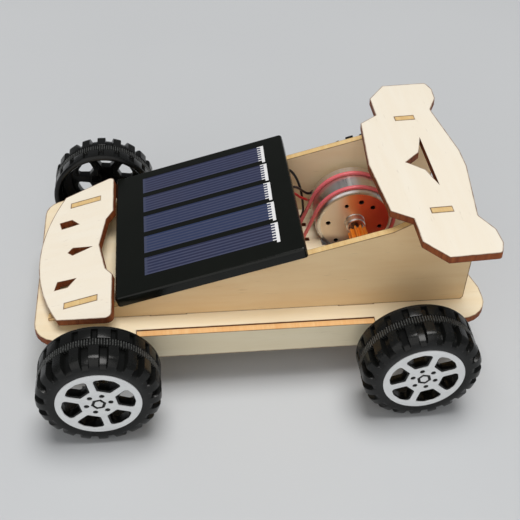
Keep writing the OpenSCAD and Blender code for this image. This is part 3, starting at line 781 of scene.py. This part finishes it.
def make_gears():
    """The motor's long pinion and the axle's big gear, with a recessed web and a hub."""
    mesh_angle = math.radians(132.5)
    bore_r, rim_r = 1.0 * MM, 0.08 * MM
    orange = plastic("gear_orange", (0.95, 0.26, 0.02), 0.32, 0.12, subsurface_weight=0.08)
    low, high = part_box("pinion_gear")
    outline = gear_outline(PINION_TEETH, mesh_angle + math.pi / PINION_TEETH)
    pinion = cut_sheet([outline, circle(bore_r, 24)], high.y - low.y, rim_r)
    bmesh.ops.transform(pinion, matrix=face_frame(MOTOR_AXIS.x, low.y, MOTOR_AXIS.z), verts=pinion.verts)
    piece = add_piece("motor_pinion", pinion, "motor_rotor", [orange])
    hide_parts("pinion_gear")

    middle, _ = box_of("rear_axle")
    low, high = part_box("axle_gear")
    width, web_t, hub_r, web_r = 2.5 * MM, 1.2 * MM, 3 * MM, 9.8 * MM
    hole_r, hole_at, hole_count = 1.5 * MM, 6.8 * MM, 6
    overlap = 0.1 * MM
    gear = cut_sheet([gear_outline(GEAR_TEETH, mesh_angle), circle(web_r, 72)], width, rim_r)
    holes = [circle(hole_r, 24, on_circle(hole_at, 2 * math.pi * i / hole_count)) for i in range(hole_count)]
    web = cut_sheet([circle(web_r + overlap, 72), circle(hub_r - overlap, 48), *holes], web_t, rim_r)
    bmesh.ops.translate(web, verts=web.verts, vec=(0, 0, -(width - web_t) / 2))
    hub = cut_sheet([circle(hub_r, 48), circle(bore_r, 24)], high.y - low.y, 0.2 * MM)
    append_mesh(gear, web)
    append_mesh(gear, hub)
    bmesh.ops.transform(gear, matrix=face_frame(middle.x, low.y, middle.z), verts=gear.verts)
    piece = add_piece("axle_spur_gear", gear, "rear_wheelset", [orange])
    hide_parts("axle_gear")


def drilled(bm, holes):
    """The bmesh with round holes (x, y, radius) cut through its face at z = 0."""
    target = bpy.data.objects.new("drilled", mesh_from(bm, "drilled"))
    tool_bm = bmesh.new()
    for x, y, radius in holes:
        bmesh.ops.create_cone(tool_bm, cap_ends=True, segments=24, radius1=radius, radius2=radius,
                              depth=2 * MM, matrix=Matrix.Translation((x, y, 0)))
    tool = bpy.data.objects.new("drill", mesh_from(tool_bm, "drill"))
    for thing in (target, tool):
        bpy.context.scene.collection.objects.link(thing)
    cut = target.modifiers.new("cut", "BOOLEAN")
    cut.operation = "DIFFERENCE"
    cut.solver = "EXACT"
    cut.object = tool
    shape = target.evaluated_get(bpy.context.evaluated_depsgraph_get())
    result = bmesh.new()
    result.from_mesh(bpy.data.meshes.new_from_object(shape))
    for thing in (target, tool):
        bpy.data.objects.remove(thing)
    return result


CAN_WALL = 0.7 * MM
CAN_HOLES = [(-3.1, 6.3, 0.65), (1.4, 7.6, 0.8), (5.2, 5.4, 0.75), (-8.3, 0, 0.75), (8.1, -2.1, 0.7),
             (-5.3, -7.1, 0.75)]    # across, up and radius, in mm


def make_can():
    """The drawn steel can with its drilled face and the collar round its bearing."""
    length = MOTOR_BACK_Y - MOTOR_FACE_Y
    edge, chamfer, shaft_hole_r = 1.5 * MM, 0.2 * MM, 1.2 * MM
    collar_r, collar_in, lip = 3.0 * MM, 2.15 * MM, 0.15 * MM
    arc = [math.radians(90 - 15 * i) for i in range(7)]
    collar = [(shaft_hole_r, -CAN_WALL), (shaft_hole_r, 0.25 * MM), (collar_in, 0.3 * MM),
              (collar_in, BOSS_H - lip), (collar_in + lip, BOSS_H), (collar_r - 2 * lip, BOSS_H),
              (collar_r, BOSS_H - 2 * lip), (collar_r, chamfer), (collar_r + chamfer, 0.0)]
    front = [(MOTOR_R - edge + edge * math.cos(a), -edge + edge * math.sin(a)) for a in arc]
    side = [(MOTOR_R, -length + chamfer), (MOTOR_R - chamfer, -length), (MOTOR_R - CAN_WALL, -length),
            (MOTOR_R - CAN_WALL, -CAN_WALL)]
    bm = bmesh.new()
    lathe(bm, [*collar, (8 * MM, 0.0), *front, *side], 120)
    bm = drilled(bm, [(x * MM, y * MM, r * MM) for x, y, r in CAN_HOLES])
    for face in bm.faces:
        middle = face.calc_center_median()
        flat = abs(face.normal.z) > 0.9 and middle.z > -0.05 * MM and middle.xy.length < MOTOR_R - edge * 0.9
        face.material_index = 1 if flat else 0
    bmesh.ops.transform(bm, matrix=face_frame(*MOTOR_AXIS), verts=bm.verts)
    steel = metal("motor_steel", (0.78, 0.75, 0.73), 0.34, (1, 0.1, 1), 0.000002)
    piece = add_piece("motor_steel_can", bm, "chassis", [steel, steel_face()])
    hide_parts("motor_can")


def make_end_cap():
    """The white cap in the can's rear end, with a ring sunk in it round the shaft's bearing."""
    low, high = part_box("motor_end_cap")
    cap_r, chamfer, shaft_hole_r = MOTOR_R - CAN_WALL, 0.3 * MM, 1.1 * MM
    ring_in, ring_out, slant, sunk = 4.0 * MM, 6.0 * MM, 0.2 * MM, 0.5 * MM
    depth = high.y - low.y
    cap = bmesh.new()
    lathe(cap, [(shaft_hole_r, 0), (cap_r, 0), (cap_r, -depth + chamfer), (cap_r - chamfer, -depth),
                (ring_out + slant, -depth), (ring_out, -depth + sunk), (ring_in, -depth + sunk),
                (ring_in - slant, -depth), (shaft_hole_r, -depth)], 96)
    bmesh.ops.transform(cap, matrix=face_frame(MOTOR_AXIS.x, low.y, MOTOR_AXIS.z), verts=cap.verts)
    white = plastic("end_cap_white", (0.8, 0.8, 0.76), 0.45, 0.06)
    piece = add_piece("motor_rear_cap", cap, "chassis", [white])
    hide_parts("motor_end_cap")


def make_terminals():
    """Two brass tags with an eye, where the leads are soldered."""
    brass = metal("terminal_brass", (0.75, 0.58, 0.28), 0.3)
    low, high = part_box("motor_terminals")
    length, half_h, thickness, corner = 3.0 * MM, 1.0 * MM, 0.4 * MM, 0.8 * MM
    outline = rounded([(0, -half_h, 0), (length, -half_h, corner), (length, half_h, corner), (0, half_h, 0)])
    eye = circle(0.45 * MM, 16, (2.0 * MM, 0))
    turn = Matrix.Rotation(math.pi / 2, 4, "Z") @ Matrix.Rotation(math.pi / 2, 4, "X")
    bm = bmesh.new()
    for z in (low.z + half_h, high.z - half_h):
        tag = cut_sheet([outline, eye], thickness, 0.05 * MM)
        place = Matrix.Translation(((low.x + high.x + thickness) / 2, low.y, z))
        bmesh.ops.transform(tag, matrix=place @ turn, verts=tag.verts)
        append_mesh(bm, tag)
    piece = add_piece("motor_terminal_tags", bm, "chassis", [brass])
    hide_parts("motor_terminals")


# ---- rubber bands ----

BAND_T = 1.0 * MM
BAND_W = 1.2 * MM
BAND_HOOK = Vector((15.6 * MM, 17.6 * MM))    # in X and Z, under the plate


def band_path():
    """The middle of a band pulled round the motor and its hook: points in X and Z, each with its way out."""
    round_steps, straight_steps, hook_steps = 72, 10, 8
    motor = Vector((MOTOR_AXIS.x, MOTOR_AXIS.z))
    lift = BAND_T / 2 + 0.05 * MM
    r, hook_r = MOTOR_R + lift, BAND_T / 2 + lift
    to_hook = BAND_HOOK - motor
    hook_a = math.atan2(to_hook.y, to_hook.x)
    tangent_a = math.acos((r - hook_r) / to_hook.length)
    round_turn = 2 * math.pi - 2 * tangent_a
    pairs = []
    for i in range(round_steps + 1):
        out = on_circle(1, hook_a + tangent_a + round_turn * i / round_steps)
        pairs.append((motor + out * r, out))
    out = on_circle(1, hook_a - tangent_a)
    for i in range(1, straight_steps):
        place = (motor + out * r).lerp(BAND_HOOK + out * hook_r, i / straight_steps)
        pairs.append((place, out))
    for i in range(hook_steps + 1):
        out = on_circle(1, hook_a - tangent_a + 2 * tangent_a * i / hook_steps)
        pairs.append((BAND_HOOK + out * hook_r, out))
    for i in range(1, straight_steps):
        place = (BAND_HOOK + out * hook_r).lerp(motor + out * r, i / straight_steps)
        pairs.append((place, out))
    return pairs


def make_bands():
    """Two stretched rubber bands of rounded section."""
    rubber = plastic("band_rubber", (0.92, 0.16, 0.19), 0.3, 0.15, 0.00003, subsurface_weight=0.1)
    half_t, half_w = BAND_T / 2, BAND_W / 2
    corner = 0.38 * MM
    section = rounded([(half_t, -half_w, corner), (half_t, half_w, corner), (-half_t, half_w, corner),
                       (-half_t, -half_w, corner)])
    for name in ("band_near", "band_far"):
        y = box_of(name)[0].y
        piece = add_piece(name + "_loop", swept(band_path(), y, section), "chassis", [rubber])
        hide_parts(name)


# ---- leads ----

LEAD_D = 0.8 * MM
# Both routes run from a pad under the panel to a motor terminal, and are in mm.
BLACK_ROUTE = [
    (3.4, 13.8, 37.6), (5.6, 14.4, 38.0), (8.2, 16.2, 38.9), (10.4, 18.0, 39.6), (12.4, 18.2, 38.9),
    (14.1, 17.1, 36.9), (15.3, 16.1, 34.0), (16.0, 15.5, 31.0), (16.5, 15.3, 27.6), (16.7, 15.5, 24.6),
    (16.0, 15.9, 22.2), (13.8, 15.8, 21.2), (10.6, 15.0, 21.2), (7.6, 13.6, 21.9), (5.9, 12.0, 24.2),
    (5.8, 10.9, 27.6), (6.6, 10.5, 31.2), (8.1, 10.3, 34.8), (10.2, 10.4, 37.6), (12.4, 11.4, 37.8),
    (14.4, 13.3, 35.8), (16.0, 15.0, 33.4), (17.6, 16.4, 31.4), (19.0, 17.9, 30.2), (20.6, 19.3, 30.2),
    (22.4, 20.0, 30.7), (23.8, 20.0, 31.0)]
RED_ROUTE = [
    (3.4, 6.4, 37.6), (5.2, 6.4, 37.9), (7.4, 6.6, 38.5), (9.6, 7.0, 38.9), (11.6, 8.0, 38.1),
    (13.2, 9.4, 36.3), (14.4, 11.0, 34.2), (15.9, 12.6, 32.3), (17.3, 14.6, 30.2), (18.0, 16.6, 28.4),
    (19.0, 18.4, 26.8), (20.6, 19.6, 25.6), (22.4, 20.0, 25.0), (23.8, 20.0, 25.0)]


def smooth(route, parts):
    """A route with points added between its own, on a smooth curve through them."""
    points = [Vector(p) * MM for p in route]
    last = len(points) - 1
    path = []
    for i in range(last):
        a, b, c, d = points[max(i - 1, 0)], points[i], points[i + 1], points[min(i + 2, last)]
        for k in range(parts):
            t = k / parts
            path.append(0.5 * (2 * b + (c - a) * t + (2 * a - 5 * b + 4 * c - d) * t ** 2
                               + (3 * b - a - 3 * c + d) * t ** 3))
    path.append(points[last])
    return path


def make_lead(name, route, material):
    """A thin lead as a round curve along its route."""
    path = smooth(route, 6)
    data = bpy.data.curves.new(name, "CURVE")
    data.dimensions = "3D"
    data.bevel_depth = LEAD_D / 2
    data.bevel_resolution = 3
    data.use_fill_caps = True
    spline = data.splines.new("POLY")
    spline.points.add(len(path) - 1)
    for point, place in zip(spline.points, path):
        point.co = (*place, 1)
    data.materials.append(material)
    lead = bpy.data.objects.new(name + "_wire", data)
    bpy.context.scene.collection.objects.link(lead)
    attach(lead, "chassis")
    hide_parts(name)


def make_leads():
    """The black and the red lead from the panel's pads to the motor."""
    make_lead("lead_black", BLACK_ROUTE, plastic("lead_black", (0.012, 0.011, 0.011), 0.35, 0.2, 0.00001))
    make_lead("lead_red", RED_ROUTE, plastic("lead_red", (0.55, 0.012, 0.014), 0.35, 0.2, 0.00001))


def blob(bm, place, radii):
    """Adds a small mound of solder."""
    shape = Matrix.Translation(place) @ Matrix.Diagonal((*radii, 1))
    bmesh.ops.create_uvsphere(bm, u_segments=20, v_segments=12, radius=1, matrix=shape)


def make_solder():
    """The pads under the panel, and solder over the ends of the leads at both ends."""
    bm = bmesh.new()
    pads = frame["nodes"]["panel_pads"]
    bm.from_mesh(pads.data)
    bmesh.ops.remove_doubles(bm, verts=bm.verts, dist=2e-6)
    for route in (BLACK_ROUTE, RED_ROUTE):
        on_pad = Vector(route[0]) + Vector((0.2, 0, 0.1))
        on_tag = Vector(route[-1]) + Vector((0.3, 0, 0))
        blob(bm, on_pad * MM, (1.0 * MM, 0.9 * MM, 0.55 * MM))
        blob(bm, on_tag * MM, (0.7 * MM, 0.8 * MM, 0.75 * MM))
    tin = metal("solder", (0.72, 0.72, 0.73), 0.25)
    piece = add_piece("solder_joints", bm, "chassis", [tin])
    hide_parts("panel_pads")


def finish_cad_nodes():
    """Materials for the CAD nodes that stay as they are."""
    steel = metal("axle_steel", (0.74, 0.74, 0.75), 0.2, (1, 0.05, 1))
    ferrite = plastic("magnet_ferrite", (0.035, 0.035, 0.038), 0.6, 0.3, 0.0001)
    for node, material in (("front_axle", steel), ("rear_axle", steel), ("motor_shaft", steel),
                           ("motor_magnet", ferrite), ("motor_armature", copper_winding())):
        data = frame["nodes"][node].data
        data.materials.clear()
        data.materials.append(material)


make_camera()
make_leads()
make_stage()
make_plates()
make_board()
make_cells()
make_busbars()
make_wheels()
make_gears()
make_can()
make_end_cap()
make_terminals()
make_bands()
make_solder()
finish_cad_nodes()
